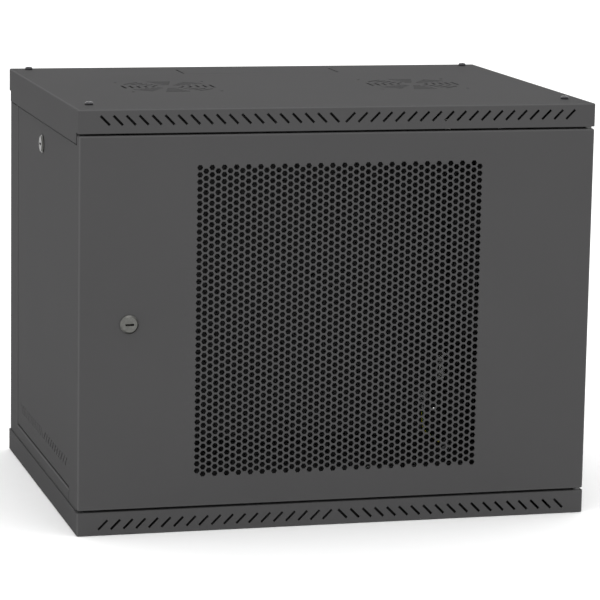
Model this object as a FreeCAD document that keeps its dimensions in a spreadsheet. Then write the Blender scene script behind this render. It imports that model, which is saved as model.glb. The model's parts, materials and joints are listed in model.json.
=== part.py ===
import FreeCAD, Part
import math
import os

import Sketcher

# A wall-mounted 19 inch network cabinet, nine rack units high, with a perforated door.
# Frame: X to the right seen from the door, Y from the door to the wall, Z up.
# The origin is the centre of the underside of the base, and all sizes are in millimetres.

V = FreeCAD.Vector
Rotation = FreeCAD.Rotation
Placement = FreeCAD.Placement
UP = V(0, 0, 1)

doc = FreeCAD.newDocument("WallCabinet")
dims = doc.addObject("Spreadsheet::Sheet", "Dims")

CELLS = (
    # Overall box
    ("outer_width", 600, "width over the side flanges"),
    ("outer_depth", 450, "door face to rear flange"),
    ("outer_height", 480, "base underside to roof"),
    # Sheet steel
    ("skin", 1.2, "sheet of roof, base, door and rear panel"),
    ("gauge", 1.5, "sheet of the frame"),
    ("panel_skin", 1.0, "sheet of the side panels"),
    ("bend", 1.8, "outer bend radius"),
    ("door_bend", 2.2, "outer bend radius of the door"),
    # Roof and base trays
    ("roof_flange", 39.1, "side flange of the roof"),
    ("base_flange", 27.4, "side flange of the base"),
    ("end_flange", 26.6, "front and rear flange of both trays"),
    ("front_cutback", 14, "side flange starts this far behind the front"),
    ("rear_cutback", 10, "side flange ends this far before the rear"),
    ("front_lip", 14, "depth of the lip that carries the hinges"),
    ("screw_x", 279.2, "corner screws from the middle, across"),
    ("screw_front", 178, "front corner screws in front of the middle"),
    ("screw_rear", 206, "rear corner screws behind the middle"),
    ("screw_hole", 3.2, "radius of the M6 clearance holes"),
    # Ventilation slots
    ("slot_long", 15, "length of a diagonal slot"),
    ("slot_wide", 2.8, "width of a diagonal slot"),
    ("slot_first", 9.1, "first slot from the middle"),
    ("slot_pitch", 14.5, "slot to slot"),
    ("slot_count", 19, "slots in each half of a tray flange"),
    ("slot_drop", 12.2, "slots below the edge of a tray"),
    ("side_slot_count", 11, "slots in each half of a side panel"),
    ("side_slot_pitch", 13.6, "slot to slot in a side panel"),
    ("side_slot_y", 1, "middle of the side panel's slots in front of the middle"),
    ("side_slot_height", 68.5, "slots above the base"),
    # Fan positions
    ("fan_x", 150, "fan centres from the middle"),
    ("fan_square", 52.5, "half the fixing square of a 120 mm fan"),
    ("fan_hole", 2.2, "radius of a fan fixing hole"),
    ("ring_first", 17.6, "middle of the fan to the smallest ring slot"),
    ("ring_pitch", 8.85, "ring to ring"),
    ("ring_slot", 3.4, "width of a ring slot"),
    ("ring_half", 0.27, "half the length of a slot over its distance from the middle"),
    # Cable entries, closed by a knock-out
    ("entry_width", 196, "knock-out, across"),
    ("entry_length", 54, "knock-out, front to rear"),
    ("entry_slit", 2.4, "slits at the ends of the knock-out"),
    ("entry_long_slit", 0.5, "slits along its long sides"),
    ("entry_bridge", 4, "half of a bridge that holds the knock-out"),
    ("roof_entry_y", 168, "middle of the roof's knock-out"),
    ("base_entry_y", 155, "middle of the base's knock-out"),
    # Frame
    ("frame_x", 298.5, "outer face of the frame"),
    ("shadow_gap", 1.9, "gap under the side flange of the roof"),
    ("frame_inner", 262, "inner edge of the uprights"),
    ("frame_front", 210, "front face of the front uprights"),
    ("frame_rear", 222.9, "rear face of the rear uprights"),
    ("window_front", 169, "front edge of the side window"),
    ("window_rear", 175.5, "rear edge of the side window"),
    ("window_low", 41.5, "lower edge of the side window"),
    ("window_high", 442.2, "upper edge of the side window"),
    ("upright_lip", 17, "lip that carries the depth rails"),
    ("lip_hole_inset", 9.5, "screw holes from the fold of that lip"),
    ("rear_flange_x", 245, "inner edge of the rear flange"),
    ("rail_seat", 20, "width of the folds of sill and header"),
    ("sill_top", 23, "width of the sill's top fold"),
    ("rail_lip", 14, "inner lip of sill and header"),
    ("tab_slot_outer", 1.6, "slot in the sill, outwards from a panel tab"),
    ("tab_slot_inner", 4.6, "slot in the sill, inwards from a panel tab"),
    # Wall fixing
    ("wall_x", 271, "wall bolts from the middle"),
    ("wall_z", 154, "wall bolts above and below mid height"),
    ("wall_plate_wide", 16, "width of a wall plate"),
    ("wall_plate_tall", 33, "height of a wall plate"),
    ("wall_plate_thick", 2.5, "thickness of a wall plate"),
    ("wall_hole", 5, "radius of the wall bolt holes in the rear flanges"),
    ("drain_x", 258, "small hole near the foot of a rear upright, across"),
    ("drain_z", 31, "the same hole above the base"),
    ("drain_hole", 1.4, "radius of that hole"),
    # Rear panel
    ("rear_panel_x", 256, "half width of the rear panel"),
    ("rear_screw_x", 250.5, "rear panel screws from the middle"),
    ("rear_screw_z", 175, "outer rear panel screws from mid height"),
    ("rear_screw_hole", 2.1, "radius of the rear panel's screw holes"),
    # Depth rails and 19 inch rails
    ("depth_rail_z", 130, "depth rails above and below mid height"),
    ("depth_rail_tall", 40, "height of a depth rail"),
    ("depth_rail_fold", 10, "folds of a depth rail"),
    ("depth_rail_slot", 3.3, "half width of the adjusting slots"),
    ("depth_slot_half", 30, "half distance of such a slot's end centres"),
    ("depth_slot_front", 120, "front slots in front of the middle"),
    ("depth_slot_rear", 105, "rear slots behind the middle"),
    ("rack_opening", 451, "clear width between the 19 inch rails"),
    ("rack_holes", 465.12, "19 inch hole centres across"),
    ("rack_unit", 44.45, "one rack unit"),
    ("rack_units", 9, "rack units"),
    ("rack_hole", 9.5, "side of a square hole"),
    ("rack_gauge", 2, "sheet of the 19 inch rails"),
    ("rack_bend", 3, "outer bend radius of the 19 inch rails"),
    ("rack_front", 150, "front face of the 19 inch rails"),
    ("rack_deep", 34, "depth of a 19 inch rail"),
    ("rack_long", 424, "length of a 19 inch rail"),
    ("rail_screw_y", 130, "screw through a 19 inch rail"),
    # Door
    ("door_low", 29.1, "lower edge of the door"),
    ("door_high", 450.9, "upper edge of the door"),
    ("door_left", 299.3, "left edge of the door from the middle"),
    ("door_right", 299.8, "hinge side edge of the door from the middle"),
    ("door_deep", 12, "depth of the door"),
    ("hole_across", 6, "door perforation across flats"),
    ("hole_pitch", 8, "perforation pitch"),
    ("hole_columns", 48, "columns of the perforation"),
    ("hole_rows", 44, "holes in a column"),
    ("field_half", 170, "half width of the punched field's margin"),
    ("field_low", 60, "lower edge of that margin"),
    ("field_high", 420, "upper edge of that margin"),
    ("stiffener_x", 195, "door stiffeners from the middle"),
    ("stiffener_wide", 20, "width of a stiffener"),
    ("stiffener_deep", 9, "depth of a stiffener"),
    ("stiffener_foot", 10, "width of a stiffener's foot"),
    ("stiffener_long", 400, "length of a stiffener"),
    # Hinge
    ("hinge_x", 293.8, "hinge axis from the middle"),
    ("hinge_y", 219, "hinge axis in front of the middle"),
    ("pin_radius", 2.45, "hinge pin"),
    ("pin_hole", 2.5, "hole for a hinge pin"),
    ("washer_radius", 4, "hinge washer"),
    ("hinge_play", 0.1, "play between a hinge washer and the door"),
    ("lower_pin_low", 22, "lower end of the lower pin"),
    ("lower_pin_high", 50, "upper end of the lower pin"),
    ("lower_ear_1", 34, "first ear of the lower guide"),
    ("lower_ear_2", 44, "second ear of the lower guide"),
    ("upper_pin_low", 398, "lower end of the upper pin"),
    ("upper_pin_high", 457, "upper end of the upper pin"),
    ("upper_ear_1", 405, "first ear of the upper guide"),
    ("upper_ear_2", 436, "second ear of the upper guide"),
    ("collar_low", 422, "collar on the upper pin"),
    ("collar_radius", 3.2, "radius of that collar"),
    ("collar_thick", 1, "thickness of that collar"),
    ("finger_z", 401, "finger of the upper pin"),
    ("finger_radius", 1.5, "radius of that finger"),
    ("finger_long", 22, "length of that finger"),
    ("guide_deep", 9.4, "depth of a guide"),
    ("guide_wide", 9.6, "length of a guide's ears"),
    ("spring_wire", 0.35, "radius of the spring's wire"),
    ("spring_turns", 6, "turns of the spring"),
    ("spring_gap", 0.2, "gap round the pin, and at both ends of the spring"),
    # Locks
    ("lock_x", 241.7, "door lock from the middle"),
    ("side_lock_y", 7, "side lock behind the middle"),
    ("side_lock_z", 413.8, "side lock above the base"),
    ("lock_head", 10.5, "radius of a lock's head"),
    ("lock_face", 8.5, "radius of the flat face of the head"),
    ("lock_barrel", 8, "radius of the threaded barrel"),
    ("lock_plug", 5.55, "radius of the plug"),
    ("lock_plug_head", 6.75, "radius of the plug's head"),
    ("lock_gap", 0.05, "running clearance of the plug"),
    ("lock_play", 0.1, "end play of the plug, and play of the barrel in its hole"),
    ("lock_proud", 3, "height of the head"),
    ("lock_deep", 20, "length of the barrel behind the sheet"),
    ("key_long", 9.8, "length of the key slot"),
    ("key_wide", 2.5, "width of the key slot"),
    ("cam_reach", 38, "cam tip from the axis"),
    ("cam_tail", 8, "cam tail from the axis"),
    ("cam_wide", 16, "width of a cam"),
    ("cam_thick", 2.5, "thickness of a cam"),
    ("tail_half", 3.5, "half side of the plug's square tail"),
    ("key_deep", 10, "depth of the key slot"),
    ("cam_corner", 5, "corner radius of a cam"),
    ("cam_screw_head", 4.5, "radius of a cam screw's head"),
    ("cam_screw_tall", 2.2, "height of a cam screw's head"),
    ("cam_screw_shank", 1.9, "radius of a cam screw's shank"),
    ("cam_screw_long", 9, "length of a cam screw's shank"),
    ("lock_nut_half", 11, "half across flats of a lock nut"),
    ("lock_nut_thick", 4, "thickness of a lock nut"),
    # Side panels
    ("panel_recess", 1, "panel behind the frame's face"),
    ("panel_gap", 1.5, "gap under a panel and at its sides"),
    ("panel_top_gap", 3.7, "gap over a panel"),
    ("panel_deep", 12, "depth of a panel"),
    ("panel_tab_y", 100, "panel tabs from the panel's middle"),
    ("panel_tab_half", 15, "half width of a panel tab"),
    ("panel_tab_drop", 7.5, "panel tab below the panel"),
    # Fasteners
    ("pan_head", 4.6, "radius of an M6 pan head"),
    ("pan_height", 3.6, "height of an M6 pan head"),
    ("shank", 2.95, "radius of an M6 shank"),
    ("nut_half", 5, "half across flats of an M6 nut"),
    ("nut_thick", 5, "thickness of an M6 nut"),
    ("thread_gap", 0.03, "gap between a shank and its nut"),
    ("roof_screw_long", 14, "length of a roof screw"),
    ("screw_spare", 6, "a rail screw beyond the sheets it joins"),
    ("small_head", 4, "radius of an M4 pan head"),
    ("small_height", 1.9, "height of an M4 pan head"),
    ("small_shank", 1.95, "radius of an M4 shank"),
    ("small_long", 6, "length of an M4 screw"),
    ("plate_corner", 2, "corner radius of a wall plate"),
    # Earthing
    ("earth_x", 241, "earth studs from the middle"),
    ("earth_y", 110, "base stud behind the middle"),
    ("earth_z", 52, "rear stud above the base"),
    ("lead_radius", 2, "earthing lead"),
    ("lead_ease", 0.8, "bend of the lead, as a share of the room it has"),
    ("stud_long", 16, "length of an earth stud"),
    ("spacer_thick", 2, "washer under a lug"),
    ("spacer_radius", 5.5, "radius of that washer"),
    ("lug_radius", 6, "ring of a lug"),
    ("lug_thick", 1, "sheet of a lug"),
    ("lug_neck", 6, "width of a lug's neck"),
    ("lug_reach", 14, "length of a lug's neck from the stud"),
    ("crimp_from", 12, "crimped barrel from the stud"),
    ("crimp_long", 8, "length of the crimped barrel"),
    ("crimp_radius", 2.6, "radius of the crimped barrel"),
    ("crimp_bore", 1.6, "radius of the barrel's bore"),
    ("stud_hole", 3, "radius of a lug's and a washer's hole"),
    ("just_clear", 0.02, "gap between pieces that touch"),
)
for row, (alias, value, note) in enumerate(CELLS, start=1):
    dims.set("A%d" % row, note)
    dims.set("B%d" % row, str(value))
    dims.setAlias("B%d" % row, alias)
doc.recompute()


def size(alias):
    """The number in a cell of the sheet."""
    return float(dims.get(alias))


def named(expression):
    """Write @name for a cell of the sheet and get FreeCAD's own expression."""
    return expression.replace("@", "Dims.")


# ---------------------------------------------------------------- sketches and features

def new_body(label):
    body = doc.addObject("PartDesign::Body", label)
    body.Label = label
    return body


def new_sketch(body, name, role, offset=None, shift=(0, 0), turn=0):
    """A sketch on one of the body's origin planes, offset along the plane's normal."""
    sketch = body.newObject("Sketcher::SketchObject", name)
    origin_plane = next(f for f in body.Origin.OriginFeatures if f.Role == role)
    sketch.AttachmentSupport = [(origin_plane, "")]
    sketch.MapMode = "FlatFace"
    sketch.AttachmentOffset = Placement(V(0, 0, 0), Rotation(UP, turn))
    for axis, expression in zip("xy", shift):
        if expression:
            sketch.setExpression("AttachmentOffset.Base." + axis, named(expression))
    if offset:
        sketch.setExpression("AttachmentOffset.Base.z", named(offset))
    return sketch


def value_of(sketch, expression):
    """The number that an expression has now."""
    result = sketch.evalExpression(named(expression))
    return float(getattr(result, "Value", result))


def place_point(sketch, index, end, x, y):
    """Fix one end of a curve from the sketch's origin, by expressions."""
    for kind, expression in (("DistanceX", x), ("DistanceY", y)):
        number = sketch.addConstraint(
            Sketcher.Constraint(kind, -1, 1, index, end, value_of(sketch, expression)))
        sketch.setExpression("Constraints[%d]" % number, named(expression))


def set_radius(sketch, index, expression):
    number = sketch.addConstraint(
        Sketcher.Constraint("Radius", index, value_of(sketch, expression)))
    sketch.setExpression("Constraints[%d]" % number, named(expression))


def add_loop(sketch, points):
    """A closed loop of straight lines through points given as expressions."""
    corners = [V(value_of(sketch, x), value_of(sketch, y), 0) for x, y in points]
    count = len(corners)
    first = sketch.GeometryCount
    lines = [Part.LineSegment(corners[i], corners[(i + 1) % count]) for i in range(count)]
    sketch.addGeometry(lines, False)
    joins = [Sketcher.Constraint("Coincident", first + i, 2, first + (i + 1) % count, 1)
             for i in range(count)]
    sketch.addConstraint(joins)
    for i, (x, y) in enumerate(points):
        place_point(sketch, first + i, 1, x, y)


def add_rectangle(sketch, x_low, y_low, x_high, y_high):
    add_loop(sketch, ((x_low, y_low), (x_high, y_low), (x_high, y_high), (x_low, y_high)))


def add_circle(sketch, x, y, radius):
    centre = V(value_of(sketch, x), value_of(sketch, y), 0)
    index = sketch.addGeometry(Part.Circle(centre, UP, value_of(sketch, radius)), False)
    place_point(sketch, index, 3, x, y)
    set_radius(sketch, index, radius)


def add_obround(sketch, x, y, half_x, half_y, radius):
    """A slot with round ends; its end centres lie half_x or half_y from the middle."""
    along = V(value_of(sketch, half_x), value_of(sketch, half_y), 0)
    centre = V(value_of(sketch, x), value_of(sketch, y), 0)
    end_radius = value_of(sketch, radius)
    across = UP.cross(along).normalize() * end_radius
    heading = math.atan2(along.y, along.x)
    quarter = math.pi / 2
    far_circle = Part.Circle(centre + along, UP, end_radius)
    near_circle = Part.Circle(centre - along, UP, end_radius)
    far = sketch.addGeometry(
        Part.ArcOfCircle(far_circle, heading - quarter, heading + quarter), False)
    near = sketch.addGeometry(
        Part.ArcOfCircle(near_circle, heading + quarter, heading + 3 * quarter), False)
    left = sketch.addGeometry(
        Part.LineSegment(centre + along + across, centre - along + across), False)
    right = sketch.addGeometry(
        Part.LineSegment(centre - along - across, centre + along - across), False)
    sketch.addConstraint([
        Sketcher.Constraint("Tangent", far, 2, left, 1),
        Sketcher.Constraint("Tangent", left, 2, near, 1),
        Sketcher.Constraint("Tangent", near, 2, right, 1),
        Sketcher.Constraint("Tangent", right, 2, far, 1),
    ])
    place_point(sketch, far, 3, "%s + %s" % (x, half_x), "%s + %s" % (y, half_y))
    place_point(sketch, near, 3, "%s - %s" % (x, half_x), "%s - %s" % (y, half_y))
    set_radius(sketch, far, radius)


def pad(body, sketch, length, flip=False, both=False):
    feature = body.newObject("PartDesign::Pad", sketch.Name + "_pad")
    feature.Profile = sketch
    feature.setExpression("Length", named(length))
    feature.Reversed = flip
    if both:
        feature.SideType = "Symmetric"
    doc.recompute()
    return feature


def pocket(body, sketch, length, flip=False, both=False):
    """Cut a sketch into the body; a cut that removes nothing stops the build."""
    before = body.Shape.Volume
    feature = body.newObject("PartDesign::Pocket", sketch.Name + "_cut")
    feature.Profile = sketch
    feature.setExpression("Length", named(length))
    feature.Reversed = flip
    if both:
        feature.SideType = "Symmetric"
    doc.recompute()
    if body.Shape.Volume > before - 0.01:
        raise RuntimeError("%s cuts nothing" % feature.Name)
    return feature


def linear_pattern(body, feature, sketch, axis, length, occurrences, flip=False):
    pattern = body.newObject("PartDesign::LinearPattern", feature.Name + "_row")
    pattern.Originals = [feature]
    pattern.Direction = (sketch, [axis])
    pattern.Reversed = flip
    pattern.setExpression("Length", named(length))
    pattern.setExpression("Occurrences", named(occurrences))
    body.Tip = pattern
    doc.recompute()


def find_edges(shape, test):
    """Names of the edges whose middle and edge pass the test."""
    return ["Edge%d" % number for number, edge in enumerate(shape.Edges, start=1)
            if test(edge.CenterOfMass, edge)]


def round_edges(body, test, radius):
    base = body.Tip
    feature = body.newObject("PartDesign::Fillet", "bend")
    feature.Base = (base, find_edges(base.Shape, test))
    feature.setExpression("Radius", named(radius))
    doc.recompute()
    return feature


def hollow(body, test, thickness):
    """Turn the body into folded sheet, open at the face that passes the test."""
    base = body.Tip
    faces = ["Face%d" % number for number, face in enumerate(base.Shape.Faces, start=1)
             if test(face.CenterOfMass)]
    feature = body.newObject("PartDesign::Thickness", "sheet")
    feature.Base = (base, faces)
    feature.setExpression("Value", named(thickness))
    feature.Mode = 0
    feature.Join = 0
    feature.Reversed = True
    doc.recompute()
    return feature


def scoop(body, name, role, mouth, low, high, depth, skin, bend, flip):
    """Empty a pan from its open side, leaving sheet with rounded bends all round."""
    sketch = new_sketch(body, name, role, mouth)
    x_low, y_low = ["%s + %s" % (text, skin) for text in low]
    x_high, y_high = ["%s - %s" % (text, skin) for text in high]
    add_rectangle(sketch, x_low, y_low, x_high, y_high)
    pocket(body, sketch, "%s - %s" % (depth, skin), flip)
    to_sketch = sketch.Placement.inverse()
    limits = [value_of(sketch, text) for text in (x_low, x_high, y_low, y_high)]
    floor = value_of(sketch, "%s - %s" % (depth, skin))
    slack = 0.01

    def is_inside_bend(middle, edge):
        spot = to_sketch.multVec(middle)
        in_x = limits[0] - slack < spot.x < limits[1] + slack
        in_y = limits[2] - slack < spot.y < limits[3] + slack
        return in_x and in_y and slack < abs(spot.z) < floor + slack

    round_edges(body, is_inside_bend, "%s - %s" % (bend, skin))


def folded(sketch, points, thickness, side):
    """The closed outline of a sheet folded along points, thickened to one side.

    All runs are along the sketch's axes. Side 1 is the left of the direction of travel.
    """
    numbers = [(value_of(sketch, x), value_of(sketch, y)) for x, y in points]
    shifts = []
    for (x_a, y_a), (x_b, y_b) in zip(numbers, numbers[1:]):
        if abs(x_b - x_a) > abs(y_b - y_a):
            shifts.append((0, side if x_b > x_a else -side))
        else:
            shifts.append((-side if y_b > y_a else side, 0))
    inner = []
    for i, (x, y) in enumerate(points):
        before = shifts[max(i - 1, 0)]
        after = shifts[min(i, len(shifts) - 1)]
        move_x = before[0] or after[0]
        move_y = before[1] or after[1]
        if i == 0:
            move_x, move_y = after
        if i == len(points) - 1:
            move_x, move_y = before
        inner.append(("%s + %d * %s" % (x, move_x, thickness),
                      "%s + %d * %s" % (y, move_y, thickness)))
    return list(points) + inner[::-1]


def fold_sheet(body, sketch, points, thickness, side, length, flip=False, bend="@bend"):
    """Pad a folded profile and round its bends inside and out."""
    outline = folded(sketch, points, thickness, side)
    add_loop(sketch, outline)
    pad(body, sketch, length, flip)
    to_world = sketch.Placement
    normal = to_world.Rotation.multVec(UP)
    count = len(points)
    corners = [V(value_of(sketch, x), value_of(sketch, y), 0) for x, y in outline]
    outer = [to_world.multVec(p) for p in corners[1:count - 1]]
    inner = [to_world.multVec(p) for p in corners[count + 1:-1]]

    def runs_along(places):
        def test(middle, edge):
            if edge.Curve.TypeId != "Part::GeomLine":
                return False
            if abs(edge.Curve.Direction.dot(normal)) < 0.999:
                return False
            return any((middle - p).cross(normal).Length < 0.01 for p in places)
        return test

    round_edges(body, runs_along(outer), bend)
    round_edges(body, runs_along(inner), "%s - %s" % (bend, thickness))


def add_feature(label, shape, placement=None):
    """A plain feature whose shape is worked out from the sheet's numbers."""
    feature = doc.addObject("Part::Feature", label)
    feature.Label = label
    feature.Shape = shape
    if placement:
        feature.Placement = placement
    return feature


def slot_row(body, name, role, offset, shift, side, count, pitch, depth, flip=False):
    """A row of diagonal slots to one side of the middle, leaning outwards at the top."""
    sketch = new_sketch(body, name, role, offset, shift)
    corners = []
    for along, across in ((-1, -1), (1, -1), (1, 1), (-1, 1)):
        x = "%d * @slot_first + (%d * @slot_long - %d * @slot_wide) / 2 * cos(45)" % (
            side, along, across * side)
        y = "(%d * @slot_long + %d * @slot_wide) / 2 * cos(45)" % (along * side, across)
        corners.append((x, y))
    add_loop(sketch, corners)
    cut = pocket(body, sketch, depth, flip)
    linear_pattern(body, cut, sketch, "H_Axis",
                   "%s * (%s - 1)" % (pitch, count), count, flip=side < 0)


# ---------------------------------------------------------------- roof and base

def fan_grille(body, name, side):
    """Five eight-sided rings of straight slots over a fan position."""
    sketch = new_sketch(body, name, "XY_Plane", None, ("%d * @fan_x" % side, None))
    for ring in range(5):
        radius = "(@ring_first + %d * @ring_pitch)" % ring
        add_rectangle(sketch, radius + " - @ring_slot / 2", "-@ring_half * " + radius,
                      radius + " + @ring_slot / 2", "@ring_half * " + radius)
    cut = pocket(body, sketch, "2 * @skin")
    pattern = body.newObject("PartDesign::PolarPattern", name + "_round")
    pattern.Originals = [cut]
    pattern.Axis = (sketch, ["N_Axis"])
    pattern.Angle = 360
    pattern.Occurrences = 8
    body.Tip = pattern
    doc.recompute()


def knock_out(body, name, role, offset, shift, depth, flip=False):
    """Slits round a cable entry; bridges at the middle and the corners hold the blank."""
    sketch = new_sketch(body, name, role, offset, shift)
    for side in (-1, 1):
        x_low = "%d * @entry_width / 2 - @entry_slit / 2" % side
        x_high = "%d * @entry_width / 2 + @entry_slit / 2" % side
        y_end = "(@entry_length / 2 - @entry_bridge)"
        add_rectangle(sketch, x_low, "-" + y_end, x_high, y_end)
        for half in (-1, 1):
            near = "%d * @entry_bridge" % half
            far = "%d * (@entry_width / 2 - @entry_bridge)" % half
            ends = (near, far) if half > 0 else (far, near)
            y_low = "%d * @entry_length / 2 - @entry_long_slit / 2" % side
            y_high = "%d * @entry_length / 2 + @entry_long_slit / 2" % side
            add_rectangle(sketch, ends[0], y_low, ends[1], y_high)
    pocket(body, sketch, depth, flip)


def build_tray(label, side_flange, entry_y, placement):
    """A shallow folded tray with its plate at z = 0 and its flanges pointing down."""
    body = new_body(label)
    half_width = "@outer_width / 2"
    half_depth = "@outer_depth / 2"
    outline = new_sketch(body, label + "_outline", "XY_Plane")
    add_rectangle(outline, "-" + half_width, "-" + half_depth, half_width, half_depth)
    pad(body, outline, side_flange, flip=True)
    mouth = -value_of(outline, side_flange)
    round_edges(body, lambda middle, edge: middle.z > mouth + 0.1, "@bend")
    hollow(body, lambda middle: abs(middle.z - mouth) < 0.01, "@skin")

    # The end flanges are shorter than the side flanges, so the door clears them.
    cutback = new_sketch(body, label + "_cutback", "YZ_Plane")
    low = "-%s - 1" % side_flange
    add_rectangle(cutback, "-%s - 1" % half_depth, low,
                  "-%s + @front_cutback" % half_depth, "-@end_flange")
    add_rectangle(cutback, "%s - @rear_cutback" % half_depth, low,
                  "%s + 1" % half_depth, "-@end_flange")
    pocket(body, cutback, "@outer_width + 2", both=True)

    lips = new_sketch(body, label + "_lip", "YZ_Plane")
    add_rectangle(lips, "-%s + @skin" % half_depth, "-@end_flange",
                  "-%s + @front_lip" % half_depth, "-@end_flange + @skin")
    pad(body, lips, "@outer_width - 2 * @skin", both=True)

    hinge_holes = new_sketch(body, label + "_hinge_holes", "XY_Plane", "-@end_flange - 1")
    for side in (-1, 1):
        add_circle(hinge_holes, "%d * @hinge_x" % side, "-@hinge_y", "@pin_hole")
    pocket(body, hinge_holes, "@skin + 2", flip=True)

    holes = new_sketch(body, label + "_holes", "XY_Plane")
    for side in (-1, 1):
        for end in (-1, 1):
            add_circle(holes, "%d * @screw_x" % side,
                       "-@screw_front" if end < 0 else "@screw_rear", "@screw_hole")
            for corner in (-1, 1):
                add_circle(holes, "%d * @fan_x + %d * @fan_square" % (side, corner),
                           "%d * @fan_square" % end, "@fan_hole")
    pocket(body, holes, "2 * @skin")

    knock_out(body, label + "_entry", "XY_Plane", None, (None, entry_y), "2 * @skin")
    for side, word in ((-1, "left"), (1, "right")):
        fan_grille(body, "%s_fan_%s" % (label, word), side)
        slot_row(body, "%s_slots_%s" % (label, word), "XZ_Plane", half_depth,
                 (None, "-@slot_drop"), side, "@slot_count", "@slot_pitch", "2 * @skin")
    body.Placement = placement
    return body


# ---------------------------------------------------------------- frame

def across(side, expression):
    """A distance across the cabinet, to the left (-1) or right (1)."""
    return "%d * (%s)" % (side, expression)


def add_upright_tabs(body, label, side, y_low, y_high, screw_y):
    """Flat tabs under the roof and over the base that the corner screws clamp."""
    for end, z_low in (("foot", "@skin"), ("head", "@outer_height - @skin - @gauge")):
        tab = new_sketch(body, "%s_%s" % (label, end), "XY_Plane", z_low)
        add_rectangle(tab, across(side, "@frame_x - @gauge / 2"), y_low,
                      across(side, "@frame_inner"), y_high)
        pad(body, tab, "@gauge")
    holes = new_sketch(body, label + "_tab_holes", "XY_Plane")
    add_circle(holes, across(side, "@screw_x"), screw_y, "@screw_hole")
    pocket(body, holes, "@outer_height", flip=True)


def lip_hole(body, name, side, y, radius):
    """Holes along X through an upright's lip, at the height of both depth rails."""
    holes = new_sketch(body, name, "YZ_Plane", across(side, "@frame_inner"))
    for end in (-1, 1):
        add_circle(holes, y, "@outer_height / 2 + %d * @depth_rail_z" % end, radius)
    pocket(body, holes, "4 * @gauge", both=True)


def clear_web(body, name, side, front, rear):
    """The outer web is cut away behind the roof's flange, down to a narrow gap under it."""
    window = new_sketch(body, name, "YZ_Plane", across(side, "@frame_x"))
    add_rectangle(window, front, "@outer_height - @roof_flange - @shadow_gap",
                  rear, "@outer_height - @end_flange")
    pocket(body, window, "2 * @gauge", both=True)


def build_front_upright(label, side):
    body = new_body(label)
    profile = new_sketch(body, label + "_profile", "XY_Plane", "@skin")
    points = [
        (across(side, "@frame_inner"), "-@frame_front"),
        (across(side, "@frame_x"), "-@frame_front"),
        (across(side, "@frame_x"), "-@window_front"),
        (across(side, "@frame_inner"), "-@window_front"),
        (across(side, "@frame_inner"), "-@window_front - @upright_lip"),
    ]
    fold_sheet(body, profile, points, "@gauge", side, "@outer_height - 2 * @skin")
    add_upright_tabs(body, label, side, "-@frame_front + @gauge / 2",
                     "-@window_front - @gauge / 2", "-@screw_front")
    lip_hole(body, label + "_rail_holes", side,
             "-@window_front - @lip_hole_inset", "@screw_hole")
    clear_web(body, label + "_web_window", side,
              "-@frame_front + @bend", "-@window_front - @bend")
    return body


def build_rear_upright(label, side):
    body = new_body(label)
    profile = new_sketch(body, label + "_profile", "XY_Plane", "@skin")
    points = [
        (across(side, "@frame_inner"), "@window_rear + @upright_lip"),
        (across(side, "@frame_inner"), "@window_rear"),
        (across(side, "@frame_x"), "@window_rear"),
        (across(side, "@frame_x"), "@frame_rear"),
        (across(side, "@rear_flange_x"), "@frame_rear"),
    ]
    fold_sheet(body, profile, points, "@gauge", side, "@outer_height - 2 * @skin")
    add_upright_tabs(body, label, side, "@window_rear + @gauge / 2",
                     "@frame_rear - @gauge / 2", "@screw_rear")
    lip_hole(body, label + "_rail_holes", side,
             "@window_rear + @lip_hole_inset", "@screw_hole")
    clear_web(body, label + "_web_window", side,
              "@window_rear + @bend", "@frame_rear - @bend")

    # Wall bolt holes behind the wall plates, holes for the rear panel's screws and a drain.
    openings = new_sketch(body, label + "_wall_holes", "XZ_Plane", "-@frame_rear")
    for end in (-1, 1):
        add_circle(openings, across(side, "@wall_x"),
                   "@outer_height / 2 + %d * @wall_z" % end, "@wall_hole")
    for end in (-1, 0, 1):
        add_circle(openings, across(side, "@rear_screw_x"),
                   "@outer_height / 2 + %d * @rear_screw_z" % end, "@rear_screw_hole")
    add_circle(openings, across(side, "@drain_x"), "@drain_z", "@drain_hole")
    pocket(body, openings, "2 * @gauge", flip=True)
    return body


def build_sill(label, side):
    """The rail under a side window, with two slots for the panel's tabs."""
    body = new_body(label)
    profile = new_sketch(body, label + "_profile", "XZ_Plane", "@window_front")
    points = [
        (across(side, "@frame_x - @rail_seat"), "@skin"),
        (across(side, "@frame_x"), "@skin"),
        (across(side, "@frame_x"), "@window_low"),
        (across(side, "@frame_x - @sill_top"), "@window_low"),
        (across(side, "@frame_x - @sill_top"), "@window_low - @rail_lip"),
    ]
    fold_sheet(body, profile, points, "@gauge", side,
               "@window_front + @window_rear", flip=True)
    slots = new_sketch(body, label + "_tab_slots", "XY_Plane", "@window_low + 1")
    middle = "(@window_rear - @window_front) / 2"
    tab_x = "@frame_x - @panel_recess - @panel_deep"
    for end in (-1, 1):
        y = "%s + %d * @panel_tab_y" % (middle, end)
        edges = sorted((across(side, tab_x + " + @tab_slot_outer"),
                        across(side, tab_x + " - @tab_slot_inner")),
                       key=lambda text: value_of(slots, text))
        add_rectangle(slots, edges[0], y + " - @panel_tab_half - 1",
                      edges[1], y + " + @panel_tab_half + 1")
    pocket(body, slots, "@gauge + 2")
    return body


def build_header(label, side):
    """The rail over a side window; the side lock's cam hooks behind its inner lip."""
    body = new_body(label)
    profile = new_sketch(body, label + "_profile", "XZ_Plane", "@window_front")
    points = [
        (across(side, "@frame_x - @rail_seat"), "@outer_height - @skin"),
        (across(side, "@frame_x"), "@outer_height - @skin"),
        (across(side, "@frame_x"), "@window_high"),
        (across(side, "@frame_x - @rail_seat"), "@window_high"),
        (across(side, "@frame_x - @rail_seat"), "@window_high + @rail_lip"),
    ]
    fold_sheet(body, profile, points, "@gauge", -side,
               "@window_front + @window_rear", flip=True)
    return body


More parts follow.
